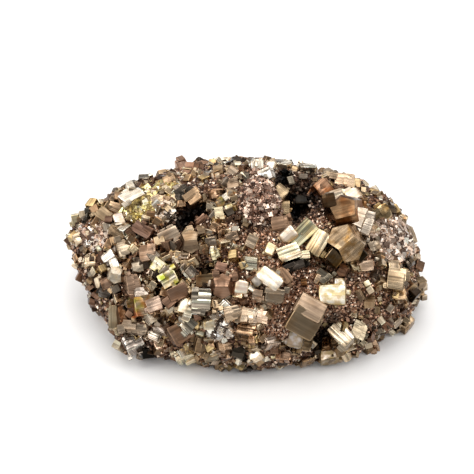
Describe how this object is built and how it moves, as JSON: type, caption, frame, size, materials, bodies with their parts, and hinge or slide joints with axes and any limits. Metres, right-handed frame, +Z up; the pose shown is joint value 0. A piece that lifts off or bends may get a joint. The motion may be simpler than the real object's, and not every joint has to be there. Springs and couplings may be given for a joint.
{
  "type": "pyrite specimen",
  "caption": "Lumpy mass of intergrown brassy pyrite cubes, bars and rounder crystals over fine brown druse with dark cavities, cut flat underneath to rest on.",
  "frame": {"origin": "middle of the sawn base, under the middle of the mass", "axes": "+Z up from the base, +X along the cluster's length to the right of the display face, -Y towards the viewer"},
  "size_m": [0.1082, 0.0763, 0.0441],
  "materials": {
    "pyrite": "bright striated crystal faces, pale brass to khaki"
  },
  "bodies": {
    "root": {"pyrite_cluster": "pyrite"}
  },
  "joints": []
}
